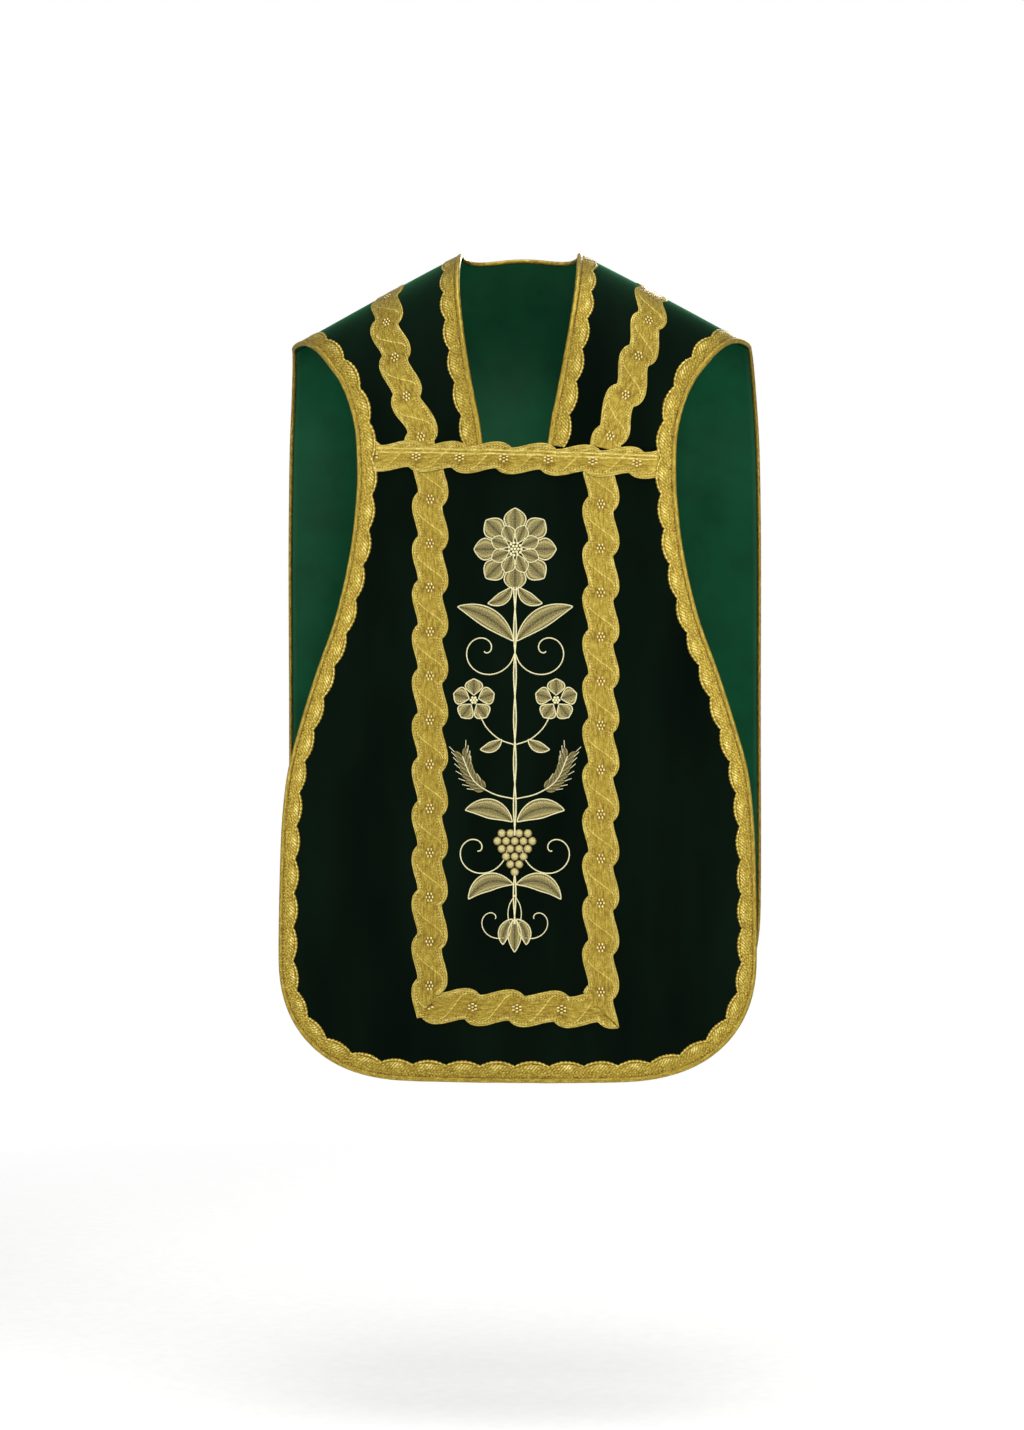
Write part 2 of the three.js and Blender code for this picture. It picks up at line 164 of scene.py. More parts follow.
def down_to(panel, x, z):
    """The v at which a panel reaches the height z."""
    fall = crest(x) - z
    bent = panel["drop"] * np.arccos(np.clip(1 - fall / panel["drop"], -1, 1))
    hung = panel["drop"] * (PI / 2 - 1) + fall
    return panel["side"] * np.where(fall < panel["drop"], bent, hung)


def hanging(panel, x, v):
    """One panel's surface, the velvet's inner face."""
    drop = panel["drop"]
    turn = np.minimum(np.abs(v) / drop, PI / 2)
    hang = np.maximum(0, np.abs(v) - drop * PI / 2)
    length = -HEM_Z - drop
    share = np.minimum(1, hang / length)
    bow = panel["bow"] + (panel["bow_at_hem"] - panel["bow"]) * share
    out = panel["depth"] * np.sin(turn) + panel["flare"] * share**1.5 - bow * x * x * np.sin(turn) ** 2
    for fold in panel["folds"]:
        ramp = np.clip((hang - fold["starts"]) / (length - fold["starts"]), 0, 1)
        side_step = (x - fold["x"] - fold["lean"] * hang) / fold["width"]
        out = out + fold["depth"] * ramp * ramp * (3 - 2 * ramp) * np.exp(-side_step * side_step)
    return np.stack([x, panel["side"] * out, crest(x) - drop * (1 - np.cos(turn)) - hang], -1)


def surface(xv):
    x, v = xv[..., 0], xv[..., 1]
    points = np.where((v < 0)[..., None], hanging(FRONT, x, v), hanging(BACK, x, v))
    for crease in CREASES:
        down = v - crease["v"]
        across = (x - crease["x"] - crease["lean"] * down) / crease["across"]
        points[..., 1] += np.sign(crease["v"]) * crease["depth"] * np.exp(
            -across * across - (down / crease["along"]) ** 2
        )
    return points


def unit(vectors):
    return vectors / np.maximum(np.linalg.norm(vectors, axis=-1, keepdims=True), 1e-9)


def directions(xv):
    """The surface's directions along x and along v at some points, and its outward normals."""
    along_x = (surface(xv + [PROBE, 0]) - surface(xv - [PROBE, 0])) / (2 * PROBE)
    along_v = (surface(xv + [0, PROBE]) - surface(xv - [0, PROBE])) / (2 * PROBE)
    return along_x, along_v, unit(np.cross(along_x, along_v))


def lifted(xv, height):
    """Points at some heights over the velvet's inner face."""
    return surface(xv) + directions(xv)[2] * np.asarray(height)[..., None]


def beside(xv, heading, distance, steps=3):
    """Points at a distance to the left of headings over the surface."""
    for _ in range(steps):
        along_x, along_v, normal = directions(xv)
        across = unit(np.cross(normal, heading))
        xx, cross, vv = (along_x**2).sum(-1), (along_x * along_v).sum(-1), (along_v**2).sum(-1)
        ax, av = (across * along_x).sum(-1), (across * along_v).sum(-1)
        share = distance / steps / (xx * vv - cross * cross)
        xv = xv + pairs(share * (ax * vv - av * cross), share * (av * xx - ax * cross))
    return xv


def spline(points, per_span=60):
    """A centripetal Catmull-Rom line through some points, sampled finely."""
    p = np.asarray(points, float)
    p = np.vstack([2 * p[0] - p[1], p, 2 * p[-1] - p[-2]])
    gaps = np.sqrt(np.linalg.norm(np.diff(p, axis=0), axis=1))
    t = np.linspace(0, 1, per_span, endpoint=False)[:, None]
    pieces = []
    for k in range(1, len(p) - 2):
        a, b, c = gaps[k - 1], gaps[k], gaps[k + 1]
        out = b * ((p[k] - p[k - 1]) / a - (p[k + 1] - p[k - 1]) / (a + b) + (p[k + 1] - p[k]) / b)
        into = b * ((p[k + 1] - p[k]) / b - (p[k + 2] - p[k]) / (b + c) + (p[k + 2] - p[k + 1]) / c)
        rise = p[k + 1] - p[k]
        pieces.append(p[k] + out * t + (3 * rise - 2 * out - into) * t**2 + (out + into - 2 * rise) * t**3)
    return np.vstack([*pieces, p[-2:-1]])


def evenly(line, shares):
    """Points at shares of a line's length."""
    lengths = np.concatenate([[0], np.cumsum(np.linalg.norm(np.diff(line, axis=0), axis=1))])
    return np.stack([np.interp(np.asarray(shares) * lengths[-1], lengths, axis) for axis in line.T], -1)


class Route:
    """A route over the surface, measured along it."""

    def __init__(self, points):
        self.xv = spline(points)
        places = surface(self.xv)
        self.s = np.concatenate([[0], np.cumsum(np.linalg.norm(np.diff(places, axis=0), axis=1))])
        self.length = self.s[-1]
        self.headings = unit(np.gradient(places, self.s, axis=0))

    def at(self, s):
        """The places at some lengths, which may lie a little past the ends, and the headings there."""
        inside = np.clip(s, 0, self.length)
        xv = np.stack([np.interp(inside, self.s, axis) for axis in self.xv.T], -1)
        heading = unit(np.stack([np.interp(inside, self.s, axis) for axis in self.headings.T], -1))
        onward = np.cross(heading, directions(xv)[2])
        return beside(xv, onward, s - inside, steps=1), heading


# ---- edges, on the wearer's left ----
def to_surface(panel, table):
    return [(row["x"], float(down_to(panel, row["x"], row["z"]))) for row in table]


def mirrored(points):
    return [(-x, v) for x, v in points]


def both_sides(points):
    return [*points, *mirrored(points[:-1])[::-1]]


def corner_and_hem(panel, shape, side_half):
    centre_x, centre_z = side_half - shape["wide"], HEM_Z + shape["high"]
    angles = np.linspace(0, PI / 2, CORNER_STEPS + 1)
    power = 2 / shape["power"]
    x = centre_x + shape["wide"] * np.abs(np.cos(angles)) ** power
    z = centre_z - shape["high"] * np.sin(angles) ** power
    straight = [(centre_x * share, HEM_Z) for share in (0.75, 0.5, 0.25, 0)]
    return to_surface(panel, rows("x z", *zip(x, z), *straight))


neck_edge = [(NECK_HALF, 0), *to_surface(FRONT, NECK_EDGE)]
behind_tip = (TIP_HALF + 2.5, SHOULDER_SEAM_V)
arm_edge = [behind_tip, (TIP_HALF, 0), *to_surface(FRONT, ARM_EDGE)]
back_edge = [behind_tip, *to_surface(BACK, BACK_EDGE)]
front_hem = corner_and_hem(FRONT, FRONT_CORNER, ARM_EDGE[-1]["x"])
back_hem = corner_and_hem(BACK, BACK_CORNER, BACK_EDGE[-1]["x"])
nape = [
    (NECK_HALF - 1.5, SHOULDER_SEAM_V),
    (NECK_HALF - 13, SHOULDER_SEAM_V + 33),
    (NECK_HALF - 36, NAPE_V - 9),
    (0, NAPE_V),
]


def edge_at(points):
    """x of an edge at a given v."""
    line = spline(points)
    order = np.argsort(line[:, 1])
    return lambda v: np.interp(v, line[order, 1], line[order, 0])


neck_at = edge_at([nape[0], *neck_edge])
arm_at = edge_at(arm_edge)


# ---- meshes ----
def placed(name, data):
    made = bpy.data.objects.new(name, data)
    bpy.context.scene.collection.objects.link(made)
    return made


def grid_quads(n_rows, n_columns, ring):
    index = np.arange(n_rows * n_columns).reshape(n_rows, n_columns)
    if ring:
        index = np.concatenate([index, index[:, :1]], 1)
    return np.stack([index[:-1, :-1], index[1:, :-1], index[1:, 1:], index[:-1, 1:]], -1).reshape(-1, 4)


class Bag:
    """Grids of points collected into one mesh, with a UV in millimetres and a relief, about 0 to 1."""

    def __init__(self):
        self.points, self.quads, self.uv, self.relief, self.slots, self.count = [], [], [], [], [], 0

    def add(self, points, uv, relief=0.5, slot=0, flip=False, ring=False):
        """Adds a grid, or a stack of grids of one size. In a ring, the last column joins the first."""
        n_rows, n_columns = points.shape[-3:-1]
        size = n_rows * n_columns
        starts = self.count + size * np.arange(points.size // 3 // size)
        quads = (grid_quads(n_rows, n_columns, ring)[None] + starts[:, None, None]).reshape(-1, 4)
        self.points.append(points.reshape(-1, 3))
        self.uv.append(np.asarray(uv).reshape(-1, 2))
        self.relief.append(np.broadcast_to(relief, points.shape[:-1]).ravel())
        self.count += points.size // 3
        self.join(quads[:, ::-1] if flip else quads, slot)

    def join(self, quads, slot=0):
        """Adds quads between points that are already there."""
        self.quads.append(quads)
        self.slots.append(np.full(len(quads), slot))

    def make(self, name, *materials):
        mesh = bpy.data.meshes.new(name)
        points, quads = np.concatenate(self.points) * MM, np.concatenate(self.quads)
        mesh.vertices.add(len(points))
        mesh.vertices.foreach_set("co", points.astype(np.float32).ravel())
        mesh.loops.add(quads.size)
        mesh.loops.foreach_set("vertex_index", quads.astype(np.int32).ravel())
        mesh.polygons.add(len(quads))
        mesh.polygons.foreach_set("loop_start", np.arange(0, quads.size, 4, dtype=np.int32))
        mesh.polygons.foreach_set("material_index", np.concatenate(self.slots).astype(np.int32))
        mesh.update(calc_edges=True)
        uv = mesh.uv_layers.new(name="Cloth")
        uv.data.foreach_set("uv", np.concatenate(self.uv)[quads.ravel()].astype(np.float32).ravel())
        # The gold and thread materials read this relief as tone: low parts painted darker, as shade, high
        # parts lighter, as highlight.
        relief = mesh.attributes.new("relief", "FLOAT", "POINT")
        relief.data.foreach_set("value", np.concatenate(self.relief).astype(np.float32))
        mesh.shade_smooth()
        for material in materials:
            mesh.materials.append(material)
        return placed(name, mesh)


def rim(n_rows, n_columns):
    """The points round a grid's edge, in order."""
    index = np.arange(n_rows * n_columns).reshape(n_rows, n_columns)
    return np.concatenate([index[:-1, 0], index[-1, :-1], index[:0:-1, -1], index[0, :0:-1]])


def shell(name, xv, inner, outer, materials):
    """A closed wall between two heights over the surface, with its inner face in the second material."""
    bag = Bag()
    faces_out = looks_out(xv)
    bag.add(lifted(xv, outer), xv, flip=not faces_out)
    bag.add(lifted(xv, inner), xv, slot=1, flip=faces_out)
    edge = rim(*xv.shape[:2])
    onward = np.roll(edge, -1)
    far = xv.shape[0] * xv.shape[1]
    walls = np.stack([edge, edge + far, onward + far, onward], -1)
    bag.join(walls if faces_out else walls[:, ::-1])
    return bag.make(name, *materials)


def looks_out(xv):
    """Whether a grid's quads, taken row by row, face outwards."""
    a, b, c = surface(xv[0, 0]), surface(xv[1, 0]), surface(xv[1, 1])
    return float(np.cross(b - a, c - a) @ directions(xv[0, 0])[2]) > 0


def patch(top, bottom, left, right, r, s):
    """(x, v) points inside four boundary lines, at shares r down and s across."""
    r, s = r[:, None, None], s[None, :, None]
    across = left[:, None] * (1 - s) + right[:, None] * s
    down = top[None] * (1 - r) + bottom[None] * r
    corners = (top[0] * (1 - s) + top[-1] * s) * (1 - r) + (bottom[0] * (1 - s) + bottom[-1] * s) * r
    return across + down - corners


# ---- velvet and lining ----
SEAM_ROWS = np.array([1.2, 2.6, 4.6])  # extra rows beside the shoulder seam
SEAM_DIP = {"depth": 1.1, "width": 2.4}
BACK_LENGTH = 1080.0  # down the back's grid, roughly
BACK_SEAM_SHARE = 7 / 20  # of the back's upper boundary, on each side, is shoulder seam


def side_and_hem(side, corner):
    """The side and the hem of a panel, split at the middle of its rounded corner."""
    half = CORNER_STEPS // 2
    return [*side, *corner[1:half + 1]], both_sides(corner[half:])


def panel_patch(top, edge, hem, r, s):
    left, right = evenly(spline(mirrored(edge)), r), evenly(spline(edge), r)
    return patch(top, evenly(spline(mirrored(hem)), s), left, right, r, s)


def front_grid(down, across):
    r, s = np.linspace(0, 1, down + 1), np.linspace(0, 1, across + 1)
    top_half = float(arm_at(down_to(FRONT, ARM_HALF_AT_SEAM, WAIST_SEAM_Z)))
    top_x = top_half * (2 * s - 1)
    top = pairs(top_x, down_to(FRONT, top_x, WAIST_SEAM_Z))
    below = [(x, v) for x, v in to_surface(FRONT, ARM_EDGE) if v < down_to(FRONT, x, WAIST_SEAM_Z) - 5]
    edge, hem = side_and_hem([tuple(top[-1]), *below], front_hem)
    return panel_patch(top, edge, hem, r, s)


def yoke_grid(side, down, across):
    """From the shoulder seam down to the seam under the crossbar, side +1 on the wearer's left."""
    top_v = SHOULDER_SEAM_V - SEAM
    low_z = WAIST_SEAM_Z + SEAM
    neck_x = neck_at(down_to(FRONT, NECK_HALF_AT_SEAM, low_z))
    arm_x = arm_at(down_to(FRONT, ARM_HALF_AT_SEAM, low_z))
    neck_v, arm_v = down_to(FRONT, neck_x, low_z), down_to(FRONT, arm_x, low_z)
    s = np.linspace(0, 1, across + 1)
    r = np.unique(np.concatenate([np.linspace(0, 1, down + 1), SEAM_ROWS / (top_v - neck_v)]))
    left_v, right_v = top_v + (neck_v - top_v) * r, top_v + (arm_v - top_v) * r
    top_x = neck_at(top_v) + (arm_at(top_v) - neck_at(top_v)) * s
    low_x = neck_x + (arm_x - neck_x) * s
    grid = patch(
        pairs(top_x, top_v),
        pairs(low_x, down_to(FRONT, low_x, low_z)),
        pairs(neck_at(left_v), left_v),
        pairs(arm_at(right_v), right_v),
        r,
        s,
    )
    return grid * [side, 1]


def back_grid(down, across):
    edge, hem = side_and_hem(back_edge, back_hem)
    r = np.unique(np.concatenate([np.linspace(0, 1, down + 1), SEAM_ROWS / BACK_LENGTH]))
    s = np.linspace(0, 1, across + 1)
    from_edge = np.minimum(s, 1 - s) / BACK_SEAM_SHARE
    seam_x = np.sign(s - 0.5) * (behind_tip[0] + (nape[0][0] - behind_tip[0]) * from_edge)
    seam = pairs(seam_x, SHOULDER_SEAM_V)
    dip_share = (s - BACK_SEAM_SHARE) / (1 - 2 * BACK_SEAM_SHARE)
    dip = evenly(spline(both_sides(mirrored(nape))), np.clip(dip_share, 0, 1))
    return panel_patch(np.where(from_edge[:, None] < 1, seam, dip), edge, hem, r, s)


def velvet_height(xv):
    """The pile's height, drawn in at the shoulder seam."""
    from_seam = (xv[..., 1] - SHOULDER_SEAM_V) / SEAM_DIP["width"]
    return VELVET - SEAM_DIP["depth"] * np.exp(-from_seam * from_seam)


# ---- wide galloon ----
# Columns of the mesh across the band: each lies at a share of the field's half width, plus an extra in the
# border. The outermost ones come twice, because the band's side turns down there.
FIELD = np.linspace(-0.8, 0.8, 9)
BORDER_EXTRA = BORDER - np.array([0, 0, 0.7, 1.5, 2.3, 3.1, 3.9, 4.7, 5.5, BORDER])
WHOLE = np.ones_like(BORDER_EXTRA)
WIDE_SIDE = np.concatenate([-WHOLE, np.sign(FIELD), WHOLE])
WIDE_SHARE = np.concatenate([WHOLE, np.abs(FIELD), WHOLE])
WIDE_EXTRA = np.concatenate([BORDER_EXTRA, 0 * FIELD, BORDER_EXTRA[::-1]])
FOOT_LIFT = 0.35  # of a column's foot over its sides, where they are mitred
FOOT_LAP = 0.4  # of the foot over each side
WIDE_BODY = {"low": 0.35, "rise": GALLOON - 0.4, "picot": 0.55}
# A cord's bright value is the relief it reaches, which raises it and also paints it lighter, as highlight;
# the gaps between strands are painted darker, as shade.
EDGE_CORD = {"at": 0.8, "width": 0.65, "bright": 0.8}  # in the border, "at" from its outer edge
BRAID = {"at": 3.1, "swing": 1.1, "width": 0.6, "bright": 0.85}
LOOPS = {"at": 5.4, "width": 0.7}
CORD_BASE = 0.7  # height over the velvet where a cord on it starts
VEIN = {"from": 15.5, "to": 46.0, "half": 0.75, "high": 0.32, "clear": 1.5}  # a cord across each repeat
PRESSED = {"half": 1.5, "high": 0.35, "across": (4.6, 9.2)}  # folds pressed along the crossbar
ROSETTE = rows(
    "along across", (-4.1, -1.95), (-4.1, 1.95), (0, -3.9), (0, 0), (0, 3.9), (4.1, -1.95), (4.1, 1.95)
)
BEAD = {"along": 2.0, "across": 1.25, "base": 0.3, "high": 1.1, "clear": 2.5}
# Round a rosette the ground is also painted darker, as shade in its hollow.
ROSETTE_REACH = 6.0  # the ground is sunk this far round a rosette, and netted past it
NET = {"pitch": 2.1, "from_rosette": 9.5, "width": 4.0, "deep": 0.2}
MITRE_ROUNDS = 30
MITRE_KEEP = 0.6  # share of each round's w that is kept in the next


def ridge(distance, width):
    return np.exp(-((distance / width) ** 2))


def wave(distance, pitch):
    return 0.5 + 0.5 * np.cos(2 * PI * distance / pitch)


def wide_half(s):
    """Half width of the wide galloon, s along it from a rosette."""
    phase = (s / WIDE["pitch"] + WIDE["offset"]) % 1
    rise = np.hypot(np.sin(PI * phase ** WIDE["skew"]), WIDE["round"]) - WIDE["round"]
    return WIDE["notch"] + WIDE["lobe"] * rise / (np.hypot(1, WIDE["round"]) - WIDE["round"])


def vein_across(s):
    """Where the vein of a repeat lies across its field, from -1 to 1, at s from the rosette before it."""
    return np.sin(PI * (np.clip((s - VEIN["from"]) / (VEIN["to"] - VEIN["from"]), 0, 1) - 0.5))


def wide_relief(s, w, inset, field):
    """A braided border with a corded edge, and a satin field painted lighter towards each vein and darker
    just past it, as light and shade on a fold.
    """
    swings = [BRAID["swing"] * np.sin(2 * PI * s / PICOT / 2 + turn) for turn in (0, PI)]
    strands = sum(ridge(inset - BRAID["at"] - swing, BRAID["width"]) for swing in swings)
    cord = EDGE_CORD["bright"] * ridge(inset - EDGE_CORD["at"], EDGE_CORD["width"])
    border = np.maximum(cord, BRAID["bright"] * np.minimum(1, strands))
    border = np.maximum(border, wave(s, PICOT) * ridge(inset - LOOPS["at"], LOOPS["width"]))
    vein_s = VEIN["from"] + (VEIN["to"] - VEIN["from"]) * (0.5 + np.arcsin(np.clip(field, -1, 1)) / PI)
    before_vein = ((s - vein_s) / WIDE["pitch"]) % 1
    from_rosette = ((s / WIDE["pitch"] + 0.5) % 1 - 0.5) * WIDE["pitch"]
    reach = np.hypot(from_rosette, w)
    net = NET["deep"] * np.cos(PI * (s + w) / NET["pitch"]) * np.cos(PI * (s - w) / NET["pitch"])
    net = net * ridge(reach - NET["from_rosette"], NET["width"])
    # Painted light and shade: the field is lighter just before each vein, as on a fold, and darker round
    # each rosette, as shade in its hollow; the net is the pattern.
    ground = (0.4 + 0.06 * before_vein**2 + net) * (1 - 0.85 * ridge(reach, ROSETTE_REACH))
    return np.where(inset < BORDER - 0.01, np.maximum(border, 0.02), ground)


def capped(xv, height, uv, relief, under):
    """A strip's points, UV and relief, with its ends closed at the heights under."""
    ends = [0, *range(len(xv)), len(xv) - 1]
    height = height[ends]
    height[[0, -1]] = under
    return lifted(xv[ends], height), uv[ends], relief[ends]


def wide_band(name, points, lift=0.0, under=UNDER, mitres=(0, 0), narrow=1.0, start_v=None, folds=()):
    """A length of wide galloon over a route. A mitred end's cut leans by its mitre across the band."""
    route = Route(points)
    t = np.linspace(0, 1, round(route.length / STEP) + 1)[:, None]
    w = np.zeros((len(t), len(WIDE_SIDE)))
    for _ in range(MITRE_ROUNDS):  # on a slanting row s depends on w, and w on s
        s = (1 - t) * mitres[0] * w + t * (route.length + mitres[1] * w)
        half = narrow * wide_half(-WIDE_SIDE * s)
        wanted = WIDE_SIDE * (WIDE_SHARE * (half - BORDER) + WIDE_EXTRA)
        w = MITRE_KEEP * w + (1 - MITRE_KEEP) * wanted
    inset = half - np.abs(w)
    picot = WIDE_BODY["picot"] * np.abs(np.cos(PI * s / PICOT)) * (inset < 0.1)
    xv, heading = route.at(s)
    xv = beside(xv, heading, w + WIDE_SIDE * picot)
    if start_v is not None:
        xv[0, :, 1] = start_v
    relief = wide_relief(s, w, inset, WIDE_SIDE * WIDE_SHARE)
    thickness = np.where(inset < BORDER - 0.01, relief * np.minimum(1, 0.35 + inset), 0.3 + 0.3 * relief)
    height = VELVET + lift + WIDE_BODY["low"] + WIDE_BODY["rise"] * thickness
    height[:, [0, -1]] = under
    bag = Bag()
    bag.add(*capped(xv, height, pairs(w, s), relief, under), ring=True)
    add_rosettes(bag, route, lift, mitres)
    add_veins(bag, route, lift, mitres, narrow)
    for fold in folds:
        along = np.linspace(3, route.length - 3, round(route.length / 3))
        add_cord(bag, route, along, np.full_like(along, fold), PRESSED, lift)
    return bag.make(name, gold)


def inside_cut(route, s, w, mitres, margin):
    return (s - mitres[0] * w > margin) & (s - mitres[1] * w < route.length - margin)


def on_route(route, s, w, height):
    xv, heading = route.at(s)
    return lifted(beside(xv, heading, w), height)


def add_rosettes(bag, route, lift, mitres):
    """Seven long beads at the start of each repeat."""
    centres = np.arange(0, route.length, WIDE["pitch"])
    s = np.array([c + bead["along"] for c in centres for bead in ROSETTE])
    w = np.array([bead["across"] for _ in centres for bead in ROSETTE])
    inside = inside_cut(route, s, w, mitres, BEAD["clear"])
    u = np.linspace(-1, 1, 5)
    along, across = np.meshgrid(u, u, indexing="ij")
    dome = (1 - along**2) * (1 - across**2)
    s = s[inside, None, None] + BEAD["along"] * along
    w = w[inside, None, None] + BEAD["across"] * across
    height = VELVET + lift + BEAD["base"] + BEAD["high"] * dome**0.6
    # The beads are painted lighter towards their tops, as highlight.
    bag.add(on_route(route, s, w, height), pairs(w, s), 0.6 + 0.4 * dome)


def add_cord(bag, route, s, w, shape, lift):
    """A low cord laid over a galloon along some places (s, w) on its route."""
    across = np.array([-1, -0.6, 0, 0.6, 1])
    heading = unit(pairs(np.gradient(s), np.gradient(w)))
    s = s[:, None] - heading[:, 1:] * across * shape["half"]
    w = w[:, None] + heading[:, :1] * across * shape["half"]
    dome = 1 - across**2
    height = VELVET + lift + CORD_BASE + shape["high"] * dome**0.6
    # The cord is painted lighter along its crown, as highlight.
    bag.add(on_route(route, s, w, height), pairs(w, s), 0.5 + 0.22 * dome)


def add_veins(bag, route, lift, mitres, narrow):
    """The cord that crosses each repeat from its right border to its left one."""
    along = np.linspace(VEIN["from"] - 1, VEIN["to"] + 1, 30)
    for start in np.arange(-WIDE["pitch"], route.length, WIDE["pitch"]):
        s = start + along
        q = vein_across(along)
        w = q * (narrow * wide_half(-np.sign(q) * s) - BORDER)
        keep = inside_cut(route, s, w, mitres, VEIN["clear"])
        if keep.sum() >= 4:
            add_cord(bag, route, s[keep], w[keep], VEIN, lift)


# ---- narrow galloon ----
FIELD_START = ROLL + 0.6
# The relief column also sets the painted tone: darker where the band turns under the edge and where the
# roll steps down to the field, as shade.
TURNED = rows(  # the part that turns round the cloth's edge, from inside to outside
    "w high relief",
    (3.0, 0.4, 0.2), (3.0, -2.0, 0.2), (0.2, -2.2, 0.3), (-0.9, -0.8, 0.38), (-1.2, 0.7, 0.42),
    (-0.7, 2.3, 0.44), (0.5, 3.3, 0.44), (1.8, 3.65, 0.44), (3.2, 3.55, 0.42), (ROLL, 3.2, 0.36),
    (FIELD_START, 2.75, 0.1),
)
NARROW_FIELD = np.array([0.02, 0.1, 0.2, 0.3, 0.4, 0.5, 0.6, 0.7, 0.79, 0.87, 0.94, 1, 1])
NARROW_BODY = {"low": 0.4, "rise": GALLOON - 0.3, "edge": 0.6, "closed": (0.3, 0.5)}
STITCH = {"pitch": 4.2, "slant": 0.9, "turn": 11, "break": 3.6, "lean": 0.3}
CLUSTER = {"long": 9, "at": 7, "width": 3.4}
HOLES = {"pitch": 4.4, "off": 1.3, "width": 0.9}  # just off the roll
OVER_BAR = {"high": 1.8, "reach": 25, "below_v": -100}


def narrow_half(s, count, length):
    """Width of the narrow galloon, a whole number of scallops long, and the phase in each."""
    phase = (s * count / length) % 1
    return NARROW["notch"] + NARROW["lobe"] * np.sin(PI * phase) ** NARROW["power"], phase


def narrow_relief(s, w, inset, phase):
    """Slanting stitches, a cluster of bright ones in each scallop, a seam by the roll and a looped edge.
    The values also raise the stitches, and paint them lighter where raised, as highlight, and darker in the
    gaps, as shade.
    """
    slant = wave(s - STITCH["slant"] * np.abs(w - STITCH["turn"]), STITCH["pitch"])
    broken = 0.6 + 0.4 * np.cos(2 * PI * (w - STITCH["lean"] * s) / STITCH["break"])
    cluster = ridge((phase - 0.5) * NARROW["pitch"], CLUSTER["long"])
    cluster = cluster * ridge(inset - CLUSTER["at"], CLUSTER["width"])
    field = 0.28 + 0.42 * slant * broken + 0.5 * cluster * slant
    hole = wave(s, HOLES["pitch"]) * ridge(w - ROLL - HOLES["off"], HOLES["width"])
    loops = 0.45 + 0.45 * np.abs(np.cos(PI * s / NARROW_PICOT))
    field = np.where(inset < 3, np.maximum(loops * ridge(inset - 1.1, 1.1), 0.15), field)
    return field * (1 - 0.9 * hole)


def narrow_band(name, points, over=None):
    """A length of narrow galloon, turned round the cloth's edge, which is its route."""
    route = Route(points)
    s = np.linspace(0, route.length, round(route.length / STEP) + 1)[:, None]
    half, phase = narrow_half(s, round(route.length / NARROW["pitch"]), route.length)
    field_w = FIELD_START + (half - FIELD_START) * NARROW_FIELD
    field_w[:, -2:] += np.abs(np.cos(PI * s / NARROW_PICOT)) ** 0.8
    field_relief = narrow_relief(s, field_w, half - field_w, phase)
    field_high = VELVET + NARROW_BODY["low"] + NARROW_BODY["rise"] * field_relief
    field_high[:, -2] = VELVET + NARROW_BODY["edge"]
    field_high[:, -1] = UNDER
    w, height, relief = (
        np.concatenate([np.tile([row[key] for row in TURNED], (len(s), 1)), field], 1)
        for key, field in (("w", field_w), ("high", field_high), ("relief", field_relief))
    )
    s = np.broadcast_to(s, w.shape)
    xv, heading = route.at(s)
    xv = beside(xv, heading, w)
    if over is not None:
        height = height + over(xv) * (height > 0.5)
    under = np.clip(height[[0, -1]], *NARROW_BODY["closed"])
    bag = Bag()
    bag.add(*capped(xv, height, pairs(w, s), relief, under), ring=True)
    return bag.make(name, gold)


def over_crossbar(xv):
    """How far the edge galloon is lifted where it lies over an end of the crossbar."""
    place = surface(xv)
    below = place[..., 2] - BAR["z"] - BAR["tilt"] * place[..., 0]
    share = np.exp(-((below / OVER_BAR["reach"]) ** 4))
    return OVER_BAR["high"] * share * (xv[..., 1] < OVER_BAR["below_v"])


# ---- embroidery: a rose over a straight stem, with sprays to both sides ----
THREAD = VELVET - 0.25  # where the threads sink into the pile
STROKE = 0.85  # half width of an outline
ROSE = (0.0, -376.0)
STEM_TOP = -422.0
STEM_FOOT = -832.0
BLOSSOM = (50.0, -560.0)
GRAPES_TOP = -722.0
BERRY = 5.2
GRAPES_FOOT = GRAPES_TOP - 9 * BERRY  # the lowest berry's centre


def laid(xz, height):
    """Points at some heights over (x, z) places on the front."""
    x, z = xz[..., 0], xz[..., 1]
    return lifted(pairs(x, down_to(FRONT, x, z)), height)


def stroke(bag, points, half=STROKE, lift=0.0):
    """A laid cord through (x, z) points on the front."""
    line = spline(points, 24)
    length = np.linalg.norm(np.diff(line, axis=0), axis=1).sum()
    line = evenly(line, np.linspace(0, 1, max(4, round(length / 1.3)) + 1))
    s = np.linspace(0, length, len(line))[:, None]
    direction = unit(np.gradient(line, axis=0))
    side = pairs(-direction[:, 1], direction[:, 0])
    across = np.array([-1, -0.65, 0, 0.65, 1])
    xz = line[:, None] + side[:, None] * (across * half)[:, None]
    dome = (1 - across**2) ** 0.5
    twist = 0.5 + 0.5 * np.cos(2 * PI * s / 2.2 + 2 * across)
    height = THREAD + (lift + half * (1.5 + 0.25 * twist)) * dome
    # The cord is painted lighter on its crown, as highlight; the twist is its own pattern.
    relief = 0.3 + 0.4 * dome + 0.3 * twist
    bag.add(laid(xz, height), pairs(across * half, s), relief, slot=1, flip=True)


